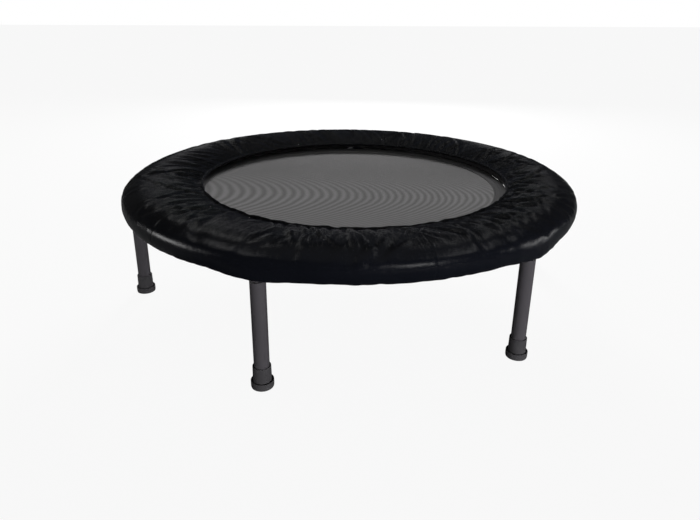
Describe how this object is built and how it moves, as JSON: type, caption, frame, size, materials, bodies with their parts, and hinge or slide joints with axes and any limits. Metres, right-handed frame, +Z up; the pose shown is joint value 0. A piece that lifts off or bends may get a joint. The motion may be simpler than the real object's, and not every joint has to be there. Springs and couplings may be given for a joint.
{
  "type": "mini trampoline",
  "caption": "Round rebounder: steel ring on screw-in legs with rubber feet, woven mat on coil springs, foam pad under a gathered black vinyl ring cover.",
  "frame": {"origin": "on the floor, under the middle of the mat", "axes": "+Z up along the mat's axis, +X through the first leg, mat level"},
  "size_m": [0.932, 0.932, 0.2553],
  "materials": {
    "painted_steel": "satin dark grey powder coat",
    "zinc_steel": "bright zinc plating",
    "foot_rubber": "matte moulded rubber",
    "woven_mat": "woven polypropylene",
    "webbing": "woven webbing",
    "pad_foam": "closed-cell foam",
    "vinyl": "soft glossy vinyl",
    "elastic_cord": "braided elastic"
  },
  "bodies": {
    "frame": {"frame_ring": "painted_steel", "leg_sockets": "painted_steel", "leg_studs": "zinc_steel", "leg_washers": "zinc_steel", "springs": "zinc_steel", "foam_pad": "pad_foam", "cover": "vinyl", "hem_elastic": "elastic_cord", "skirt_elastic": "elastic_cord"},
    "mat": {"mat": "woven_mat", "mat_border": "webbing", "mat_tabs": "webbing", "spring_links": "zinc_steel"},
    "leg_1": {"leg_1": "painted_steel", "leg_nut_1": "zinc_steel", "foot_1": "foot_rubber"},
    "leg_2": {"leg_2": "painted_steel", "leg_nut_2": "zinc_steel", "foot_2": "foot_rubber"},
    "leg_3": {"leg_3": "painted_steel", "leg_nut_3": "zinc_steel", "foot_3": "foot_rubber"},
    "leg_4": {"leg_4": "painted_steel", "leg_nut_4": "zinc_steel", "foot_4": "foot_rubber"},
    "leg_5": {"leg_5": "painted_steel", "leg_nut_5": "zinc_steel", "foot_5": "foot_rubber"},
    "leg_6": {"leg_6": "painted_steel", "leg_nut_6": "zinc_steel", "foot_6": "foot_rubber"}
  },
  "joints": [
    {"name": "mat_bounce", "type": "slide", "parent": "frame", "child": "mat", "axis": [0, 0, -1], "range_m": [0, 0.09], "stiffness_N_per_m": 16000, "deforming": ["springs"]},
    {"name": "leg_1_screw", "type": "hinge", "parent": "frame", "child": "leg_1", "pos_m": [0.4445, 0, 0.191], "axis": [0, 0, -1], "range_deg": [0, 2880]},
    {"name": "leg_2_screw", "type": "hinge", "parent": "frame", "child": "leg_2", "pos_m": [0.22225, 0.38495, 0.191], "axis": [0, 0, -1], "range_deg": [0, 2880]},
    {"name": "leg_3_screw", "type": "hinge", "parent": "frame", "child": "leg_3", "pos_m": [-0.22225, 0.38495, 0.191], "axis": [0, 0, -1], "range_deg": [0, 2880]},
    {"name": "leg_4_screw", "type": "hinge", "parent": "frame", "child": "leg_4", "pos_m": [-0.4445, 0, 0.191], "axis": [0, 0, -1], "range_deg": [0, 2880]},
    {"name": "leg_5_screw", "type": "hinge", "parent": "frame", "child": "leg_5", "pos_m": [-0.22225, -0.38495, 0.191], "axis": [0, 0, -1], "range_deg": [0, 2880]},
    {"name": "leg_6_screw", "type": "hinge", "parent": "frame", "child": "leg_6", "pos_m": [0.22225, -0.38495, 0.191], "axis": [0, 0, -1], "range_deg": [0, 2880]}
  ]
}
